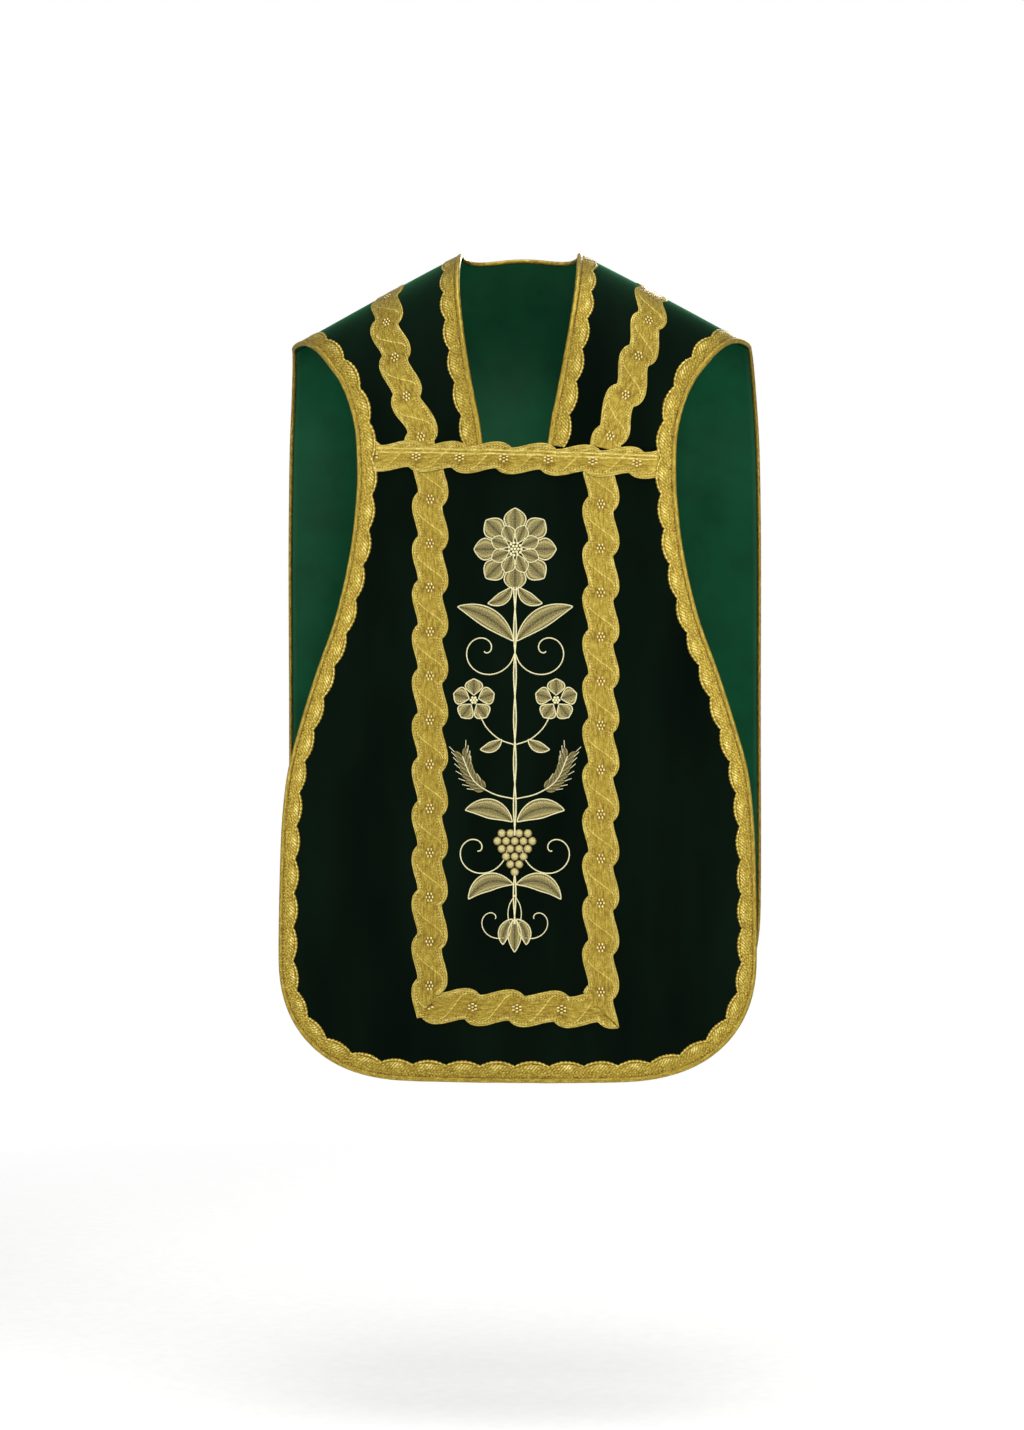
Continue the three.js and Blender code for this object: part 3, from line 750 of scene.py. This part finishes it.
def blade(bag, base, tip, half, bend=0.0, fat=1.0, lift=0.0, stitch=1.9, outline=True):
    """A leaf or petal in satin stitch, its threads slanting from a middle line, with a corded outline."""
    base, tip = np.array(base, float), np.array(tip, float)
    length = np.linalg.norm(tip - base)
    normal = np.array([base[1] - tip[1], tip[0] - base[0]]) / length
    t = np.linspace(0, 1, max(10, round(length / 0.8)) + 1)
    c = np.linspace(-1, 1, 13)
    centre = base + (tip - base) * t[:, None] + normal * (4 * bend * t * (1 - t))[:, None]
    direction = unit(np.gradient(centre, axis=0))
    side = pairs(-direction[:, 1], direction[:, 0])
    width = half * np.sin(PI * t**fat) ** 0.85
    xz = centre[:, None] + side[:, None] * (width[:, None] * c)[..., None]
    across = np.abs(c) * width[:, None]
    slant = np.cos(2 * PI * (t[:, None] * length - 0.8 * across) / stitch)
    thread = 0.5 + 0.5 * slant * (0.65 + 0.35 * np.cos(2 * PI * across / 2.4))
    middle = ridge(across, 0.9)
    echo = ridge(np.abs(c) - 0.62, 0.09) * np.minimum(1, width[:, None] / 6)
    crown = (1 - c**2) ** 0.5 * np.minimum(1, width[:, None] / 2.5)
    height = THREAD + (lift + 1.15 + 0.28 * thread - 0.45 * middle + 0.3 * echo) * crown
    uv = pairs(width[:, None] * c, t[:, None] * length)
    # The tone follows the shape: the groove along the middle is painted darker, as shade, and the raised
    # line within each half lighter, as highlight; the slant is the stitches' own pattern.
    bag.add(laid(xz, height), uv, 0.2 + 0.55 * thread - 0.25 * middle + 0.4 * echo, flip=True)
    if outline:
        picked = np.linspace(0, len(t) - 1, len(t) // 3).round().astype(int)
        stroke(bag, xz[picked, 0], lift=lift + 0.3)
        stroke(bag, xz[picked, -1], lift=lift + 0.3)


def scroll(bag, base, centre, turns, half=STROKE):
    """A tendril from its base into a spiral round a centre, with the sign of turns as its sense."""
    base, centre = np.array(base, float), np.array(centre, float)
    reach = base - centre
    start = math.atan2(reach[1], reach[0])
    t = np.linspace(0, 1, 9 + round(10 * abs(turns)))
    radius = np.linalg.norm(reach) * (1 - t) ** 1.25 + 1.6
    angle = start + 2 * PI * turns * t
    stroke(bag, centre + pairs(radius * np.cos(angle), radius * np.sin(angle)), half)


def knot(bag, x, z, radius, lift, slot=0, high=0.85):
    """A round knot or berry, which is high times its radius in height."""
    u = np.linspace(-1, 1, 7)
    a, b = np.meshgrid(u, u, indexing="ij")
    round_a, round_b = a * np.sqrt(1 - b * b / 2), b * np.sqrt(1 - a * a / 2)
    xz = pairs(x + radius * round_a, z + radius * round_b)
    reach = np.sqrt(np.clip(1 - round_a**2 - round_b**2, 0, 1))
    # Painted lighter towards its top, as highlight.
    bag.add(laid(xz, THREAD + lift + high * radius * reach), xz, 0.35 + 0.6 * reach, slot=slot, flip=True)


def ring_of(count, centre, radius, turn=0.0):
    angles = 2 * PI * (np.arange(count) + turn) / count
    return centre + radius * pairs(np.cos(angles), np.sin(angles))


def flower(bag, centre, petals, inner, outer, half, lift=0.0, turn=0.25, fat=1.35):
    bases, tips = ring_of(petals, centre, inner, turn), ring_of(petals, centre, outer, turn)
    for k in range(petals):
        blade(bag, bases[k], tips[k], half, fat=fat, lift=lift + 0.15 * (k % 2))


def seeds(bag, centre, radius, lift, *rings):
    """Round knots at the heart of a flower, in rings of (count, reach)."""
    for count, reach in rings:
        for x, z in ring_of(count, centre, reach):
            knot(bag, x, z, radius, lift, slot=1)


def rose(bag):
    flower(bag, ROSE, 8, 16, 50, 13.2, turn=0)
    flower(bag, ROSE, 8, 7, 31, 8.2, lift=0.9, turn=0.5)
    seeds(bag, ROSE, 1.9, 2.0, (1, 0), (6, 4), (11, 7.6))
    for side in (-1, 1):
        blade(bag, (4 * side, STEM_TOP), (33 * side, STEM_TOP - 20), 7, bend=-5 * side)


def stem(bag):
    """Two cords twisted round each other, which stop where the grapes hide them."""
    z = np.linspace(STEM_TOP, STEM_FOOT, 104)
    for phase in (0, PI):
        x = 1.5 * np.cos((z - STEM_TOP) / 17 + phase)
        path = pairs(x, z)
        for shown in (z > GRAPES_TOP - BERRY, z < GRAPES_FOOT):
            stroke(bag, path[shown], 1.0, lift=0.35)


def upper_sprays(bag):
    for side in (-1, 1):
        blossom = (BLOSSOM[0] * side, BLOSSOM[1])
        blade(bag, (2 * side, -488), (70 * side, -446), 11.5, bend=8 * side)
        scroll(bag, (1.5 * side, -502), (37 * side, -499), 1.3 * side)
        stroke(bag, [(1.5 * side, -614), (18 * side, -608), (34 * side, -594), (44 * side, -576)])
        flower(bag, blossom, 5, 6, 26, 10.5, fat=1.25)
        seeds(bag, blossom, 1.8, 1.1, (1, 0), (6, 3.4))
        blade(bag, (16 * side, -608), (42 * side, -620), 6, bend=-3 * side)


def wheat(bag, side):
    """An ear of wheat on a bowed stalk."""
    stalk = spline([(1.5 * side, -680), (26 * side, -674), (50 * side, -658), (64 * side, -628)])
    stroke(bag, stalk[::20])
    spots = evenly(stalk, np.linspace(0.42, 0.97, 8))
    heads = unit(np.gradient(spots, axis=0))
    for spot, head in zip(spots, heads):
        for lean in (-1, 1):
            across = np.array([-head[1], head[0]]) * lean
            blade(bag, spot + across * 0.8, spot + head * 12 + across * 8, 3.3, stitch=1.4, outline=False)
            stroke(bag, [spot + head * 11 + across * 7.4, spot + head * 19 + across * 11], 0.5)


def grapes(bag):
    for row, count in enumerate((4, 5, 4, 3, 2, 1)):
        for k in range(count):
            x = (k - (count - 1) / 2) * BERRY * 2.02
            z = GRAPES_TOP - row * BERRY * 1.8
            knot(bag, x, z, BERRY, 0.4 + 0.3 * ((row + k) % 2), high=0.62)


def lower_sprays(bag):
    for side in (-1, 1):
        wheat(bag, side)
        blade(bag, (3 * side, -708), (60 * side, -694), 11.5, bend=9 * side)
        scroll(bag, (10 * side, -738), (46 * side, -742), 1.2 * side)
        blade(bag, (2 * side, -784), (56 * side, -802), 10.5, bend=12 * side)
        scroll(bag, (1.5 * side, -798), (25 * side, -826), 1.1 * side, 0.7)


def bud(bag):
    base = STEM_FOOT + 6
    for side in (-1, 1):
        blade(bag, (2.5 * side, base), (14 * side, base - 31), 7, bend=4 * side)
    blade(bag, (0, base), (0, base - 40), 8, fat=0.9, lift=0.5)


def embroidery(name, *parts):
    bag = Bag()
    for part in parts:
        part(bag)
    return bag.make(name, fill_thread, outline_thread)


# ---- materials ----
def node(tree, kind, inputs=(), **settings):
    made = tree.nodes.new(kind)
    for key, value in settings.items():
        setattr(made, key, value)
    for socket, value in dict(inputs).items():
        if isinstance(value, bpy.types.NodeSocket):
            tree.links.new(value, made.inputs[socket])
        else:
            made.inputs[socket].default_value = value
    return made


def finish_material(name, sockets, build):
    """A Principled material with set sockets; build adds its nodes and returns links to more sockets."""
    material = bpy.data.materials.new(name)
    material.use_nodes = True
    tree = material.node_tree
    shader = tree.nodes["Principled BSDF"]
    for socket, value in sockets.items():
        shader.inputs[socket].default_value = value
    for socket, source in build(tree).items():
        tree.links.new(source, shader.inputs[socket])
    return material


def ramp(tree, factor, *stops):
    made = node(tree, "ShaderNodeValToRGB", {"Fac": factor})
    elements = made.color_ramp.elements
    while len(elements) < len(stops):
        elements.new(0.5)
    for element, (position, colour) in zip(elements, stops):
        element.position = position
        element.color = (*colour, 1)
    return made.outputs["Color"]


def noise(tree, vector, scale, detail, **inputs):
    values = {"Vector": vector, "Scale": scale, "Detail": detail, **inputs}
    return node(tree, "ShaderNodeTexNoise", values).outputs["Fac"]


def maths(tree, operation, a, b):
    return node(tree, "ShaderNodeMath", {0: a, 1: b}, operation=operation).outputs[0]


def blended(tree, *terms):
    """The sum of some values, each times its weight."""
    total = None
    for value, weight in terms:
        term = maths(tree, "MULTIPLY", value, weight)
        total = term if total is None else maths(tree, "ADD", total, term)
    return total


def bump(tree, height, distance, strength):
    inputs = {"Height": height, "Distance": distance, "Strength": strength}
    return node(tree, "ShaderNodeBump", inputs).outputs["Normal"]


def threads(tree, uv, direction, pitch):
    """Parallel threads, with a pitch in the UV's millimetres. The texture turns 20 radians in each unit."""
    inputs = {"Vector": uv, "Scale": 2 * PI / 20 / pitch, "Distortion": 0.6, "Detail": 1.0}
    settings = {"wave_type": "BANDS", "bands_direction": direction, "wave_profile": "SIN"}
    return node(tree, "ShaderNodeTexWave", inputs, **settings).outputs["Fac"]


def cloth_uv(tree):
    return node(tree, "ShaderNodeUVMap", uv_map="Cloth").outputs["UV"]


def relief_of(tree):
    return node(tree, "ShaderNodeAttribute", attribute_name="relief").outputs["Fac"]


def place_on(tree):
    return node(tree, "ShaderNodeTexCoord").outputs["Object"]


def velvet_nodes(tree):
    place = place_on(tree)
    down = node(tree, "ShaderNodeVectorMath", {0: place, 1: (1, 1, 0.3)}, operation="MULTIPLY").outputs[0]
    nap = noise(tree, down, 9, 3)
    pile = noise(tree, place, 1600, 2)
    shade = blended(tree, (nap, 0.8), (pile, 0.2))
    colour = ramp(tree, shade, (0.36, (0.0005, 0.0015, 0.0008)), (0.64, (0.0021, 0.0062, 0.0030)))
    return {"Base Color": colour, "Normal": bump(tree, pile, 0.0004, 0.35)}


def satin_nodes(tree):
    uv = cloth_uv(tree)
    place = place_on(tree)
    weave = blended(tree, (threads(tree, uv, "X", 0.9), 0.6), (threads(tree, uv, "Y", 0.6), 0.4))
    shade = blended(tree, (noise(tree, place, 25, 3), 0.7), (weave, 0.3))
    colour = ramp(tree, shade, (0.3, (0.0012, 0.050, 0.018)), (0.7, (0.0022, 0.078, 0.028)))
    return {"Base Color": colour, "Normal": bump(tree, weave, 0.00012, 0.5)}


def centred(tree, value):
    return maths(tree, "SUBTRACT", value, 0.5)


def gold_nodes(tree):
    uv = cloth_uv(tree)
    relief = relief_of(tree)
    stretched = node(tree, "ShaderNodeVectorMath", {0: uv, 1: (1, 0.2, 1)}, operation="MULTIPLY").outputs[0]
    streaks = centred(tree, noise(tree, stretched, 0.5, 3, Roughness=0.6))
    # A fine speckle of the metal thread, partly painted glints.
    speckle_and_glints = centred(tree, noise(tree, uv, 0.48, 4, Roughness=0.75))
    patches = centred(tree, noise(tree, uv, 0.09, 2))
    grain = blended(tree, (streaks, 0.9), (speckle_and_glints, 1.05))
    # The relief follows the galloon's height. It lightens the colour where high and darkens it where low:
    # painted highlight on raised threads and painted shade in hollows, over the pattern's own tone.
    shade = blended(tree, (relief, 1.0), (grain, 1.0), (patches, 0.22))
    colour = ramp(
        tree,
        shade,
        (0.0, (0.080, 0.040, 0.004)),
        (0.25, (0.218, 0.137, 0.011)),
        (0.48, (0.365, 0.262, 0.028)),
        (0.72, (0.58, 0.46, 0.094)),
        (1.0, (0.92, 0.79, 0.385)),
    )
    return {"Base Color": colour, "Normal": bump(tree, grain, 0.0005, 0.9)}


def thread_nodes(dark, middle, bright):
    def build(tree):
        uv = cloth_uv(tree)
        relief = relief_of(tree)
        grain = centred(tree, noise(tree, uv, 0.85, 3, Roughness=0.7))
        # The relief lightens the raised parts of the threads and darkens the low ones: painted highlight
        # and painted shade, over the stitches' own pattern.
        shade = blended(tree, (relief, 0.75), (grain, 1.3))
        colour = ramp(tree, shade, (0.15, dark), (0.45, middle), (0.8, bright))
        return {"Base Color": colour, "Normal": bump(tree, grain, 0.0003, 0.6)}

    return build


velvet = finish_material(
    "velvet",
    {
        "Roughness": 0.95,
        "Specular IOR Level": 0.03,
        "Sheen Weight": 1.0,
        "Sheen Roughness": 0.38,
        "Sheen Tint": (0.075, 0.33, 0.15, 1),
    },
    velvet_nodes,
)
satin = finish_material("satin", {"Roughness": 0.45, "Specular IOR Level": 0.14}, satin_nodes)
gold = finish_material("gold_galloon", {"Roughness": 0.4, "Metallic": 0.7}, gold_nodes)
fill_thread = finish_material(
    "champagne_thread",
    {"Roughness": 0.5, "Metallic": 0.25, "Specular IOR Level": 0.3},
    thread_nodes((0.028, 0.030, 0.010), (0.27, 0.220, 0.074), (0.70, 0.60, 0.27)),
)
outline_thread = finish_material(
    "bright_thread",
    {"Roughness": 0.4, "Metallic": 0.25},
    thread_nodes((0.30, 0.26, 0.11), (0.64, 0.58, 0.30), (0.90, 0.85, 0.54)),
)

# ---- the garment ----
cloth = [velvet, satin]
front = shell("velvet_front", front_grid(118, 92), 0, VELVET, cloth)
yokes = {
    side: shell(f"velvet_yoke_{side}", grid, 0, velvet_height(grid), cloth)
    for side, grid in (("left", yoke_grid(1, 56, 34)), ("right", yoke_grid(-1, 56, 34)))
}
back_xv = back_grid(120, 100)
back = shell("velvet_back", back_xv, 0, velvet_height(back_xv), cloth)
lining = shell("satin_lining", back_grid(90, 60), -SEAM - LINING, -SEAM, [satin, satin])


def run(panel, start, end, steps=6):
    """A straight run over a panel between two (x, z) points."""
    x, z = (np.linspace(a, b, steps + 1) for a, b in zip(start, end))
    return list(zip(x, down_to(panel, x, z)))


def bar_z(x):
    return BAR["z"] + BAR["tilt"] * x


def foot_z(x):
    return COLUMN_END["z"] + COLUMN_END["tilt"] * x


def shoulder_band(name, side):
    start_v = SHOULDER_SEAM_V - SEAM
    points = [(BAND_TOP_X - 3, start_v), (BAND_TOP_X, 0), *to_surface(FRONT, SHOULDER_BAND)]
    return wide_band(name, [(side * x, v) for x, v in points], start_v=start_v)


def front_side(name, x, mitre):
    points = run(FRONT, (x, bar_z(x) + COLUMN_TOP), (x, foot_z(x) + SEAM))
    return wide_band(name, points, mitres=(0, mitre))


def back_side(name, side, mitre):
    start_v = SHOULDER_SEAM_V + SEAM
    table = [*BACK_BAND, {"x": COLUMN_X, "z": BACK_COLUMN_END_Z + SEAM}]
    points = [(side * x, v) for x, v in [(BAND_TOP_X - 3, start_v), *to_surface(BACK, table)]]
    return wide_band(name, points, mitres=(0, mitre), start_v=start_v)


near = COLUMN_X + FOOT_LAP
front_round = both_sides([(behind_tip[0], SHOULDER_SEAM_V - SEAM), *arm_edge[1:], *front_hem[1:]])[::-1]
back_round = both_sides([(behind_tip[0], SHOULDER_SEAM_V + SEAM), *back_edge[1:], *back_hem[1:]])
neck_round = both_sides([*neck_edge[-2::-1], *nape])[::-1]
bar = run(FRONT, (-BAR["half"], bar_z(-BAR["half"])), (BAR["half"], bar_z(BAR["half"])), 8)
front_foot = run(FRONT, (-near, foot_z(-near)), (near, foot_z(near)))
back_foot = run(BACK, (near, BACK_COLUMN_END_Z), (-near, BACK_COLUMN_END_Z))

front_trims = {
    "front_edge_galloon": narrow_band("galloon_front_edge", front_round, over_crossbar),
    "crossbar_galloon": wide_band(
        "galloon_crossbar", bar, BAR["lift"], BAR["under"], narrow=BAR["narrow"], folds=PRESSED["across"]
    ),
    "front_column_right": front_side("galloon_front_column_right", -COLUMN_X, -1),
    "front_column_left": front_side("galloon_front_column_left", COLUMN_X, 1),
    "front_column_foot": wide_band("galloon_front_column_foot", front_foot, FOOT_LIFT, mitres=(1, -1)),
}
back_trims = {
    "back_edge_galloon": narrow_band("galloon_back_edge", back_round),
    "back_column_right": back_side("galloon_back_column_right", -1, 1),
    "back_column_left": back_side("galloon_back_column_left", 1, -1),
    "back_column_foot": wide_band("galloon_back_column_foot", back_foot, FOOT_LIFT, mitres=(1, -1)),
    "neck_galloon": narrow_band("galloon_neck", neck_round),
}
bands = {
    "left": shoulder_band("galloon_shoulder_left", 1),
    "right": shoulder_band("galloon_shoulder_right", -1),
}
needlework = [
    embroidery("embroidery_upper", rose, upper_sprays),
    embroidery("embroidery_lower", stem, lower_sprays, grapes, bud),
]

# ---- the frame: each piece hangs from the root, and the part it stands for is hidden ----
replaced = {
    front: ("front_panel", "velvet"),
    back: ("back_panel", "velvet"),
    lining: ("back_lining", "lining"),
    **{piece: (f"yoke_{side}", "velvet") for side, piece in yokes.items()},
    **{piece: (f"shoulder_band_{side}", "galloon") for side, piece in bands.items()},
    **{piece: (name, "galloon") for name, piece in {**front_trims, **back_trims}.items()},
}
for piece, (name, slot) in replaced.items():
    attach(piece, "root")
    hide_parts(name)
for piece in needlework:
    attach(piece, "root")

# ---- floor, light and camera, in metres ----
FLOOR_Z = -1.46
DISTANCE = 4.0
YAW = math.radians(3)
EYE_Z = -0.578
FOCAL_PX = 3175.0
CENTRE_PX = 520.5  # the garment's centre line in the picture
PICTURE = (1024, 1430)
FLOOR_FADE = (1.7, 3.2)
LAMPS = rows(
    "name place aim size power",
    ("key", (0.4, -3.0, -0.1), (0, 0, -0.6), 0.9, 15),
    ("left", (-2.4, -2.0, 0.1), (0, 0, -0.5), 1.0, 32),
    ("right", (2.4, -2.0, 0.1), (0, 0, -0.5), 1.0, 34),
    ("top", (0.1, -0.8, 2.1), (0, 0, -0.2), 1.8, 40),
    ("behind", (0.8, 2.9, 0.8), (0, 0, -0.5), 1.4, 55),
)


def disc(name, radius, z, rings=24, spokes=96):
    bag = Bag()
    r = np.linspace(0, radius / MM, rings)[:, None]
    a = np.linspace(0, 2 * PI, spokes, endpoint=False)
    points = np.stack([r * np.cos(a), r * np.sin(a), np.full((rings, spokes), z / MM)], -1)
    bag.add(points, points[..., :2], ring=True)
    return bag.make(name, floor_material)


def floor_nodes(tree):
    """A pale floor that fades out far from the object."""
    place = place_on(tree)
    reach = node(tree, "ShaderNodeVectorMath", {0: place}, operation="LENGTH").outputs["Value"]
    grain = noise(tree, place, 60, 2)
    fade = node(
        tree,
        "ShaderNodeMapRange",
        {0: reach, 1: FLOOR_FADE[0], 2: FLOOR_FADE[1], 3: 1.0, 4: 0.0},
        interpolation_type="SMOOTHSTEP",
    )
    colour = ramp(tree, grain, (0.3, (0.90, 0.90, 0.89)), (0.7, (0.93, 0.93, 0.92)))
    return {"Base Color": colour, "Alpha": fade.outputs[0]}


floor_material = finish_material("pale_floor", {"Roughness": 0.9, "Specular IOR Level": 0.1}, floor_nodes)
disc("floor", 3.4, FLOOR_Z)


def add_lamp(name, place, aim, size, power):
    data = bpy.data.lights.new(name, "AREA")
    data.shape, data.size, data.energy = "DISK", size, power
    made = placed(name, data)
    made.location = place
    made.rotation_euler = (made.location - Vector(aim)).to_track_quat("Z", "Y").to_euler()


def light_world():
    """White behind everything, and a softer light from all round."""
    world = bpy.data.worlds.new("studio")
    world.use_nodes = True
    tree = world.node_tree
    seen = node(tree, "ShaderNodeLightPath").outputs["Is Camera Ray"]
    strength = node(tree, "ShaderNodeMapRange", {0: seen, 1: 0.0, 2: 1.0, 3: 0.45, 4: 1.0}).outputs[0]
    tree.links.new(strength, tree.nodes["Background"].inputs["Strength"])
    tree.nodes["Background"].inputs["Color"].default_value = (1, 1, 1, 1)
    bpy.context.scene.world = world


def place_camera():
    data = bpy.data.cameras.new("camera")
    data.sensor_width = 36
    data.sensor_fit = "AUTO"
    data.lens = FOCAL_PX / PICTURE[1] * data.sensor_width
    made = placed("camera", data)
    side_step = (CENTRE_PX - PICTURE[0] / 2) / FOCAL_PX * DISTANCE
    made.location = (
        DISTANCE * math.sin(YAW) - side_step * math.cos(YAW),
        -DISTANCE * math.cos(YAW) - side_step * math.sin(YAW),
        EYE_Z,
    )
    made.rotation_euler = (PI / 2, 0, YAW)
    bpy.context.scene.camera = made


for row in LAMPS:
    add_lamp(**row)
light_world()
place_camera()
bpy.context.scene.view_settings.view_transform = "Standard"
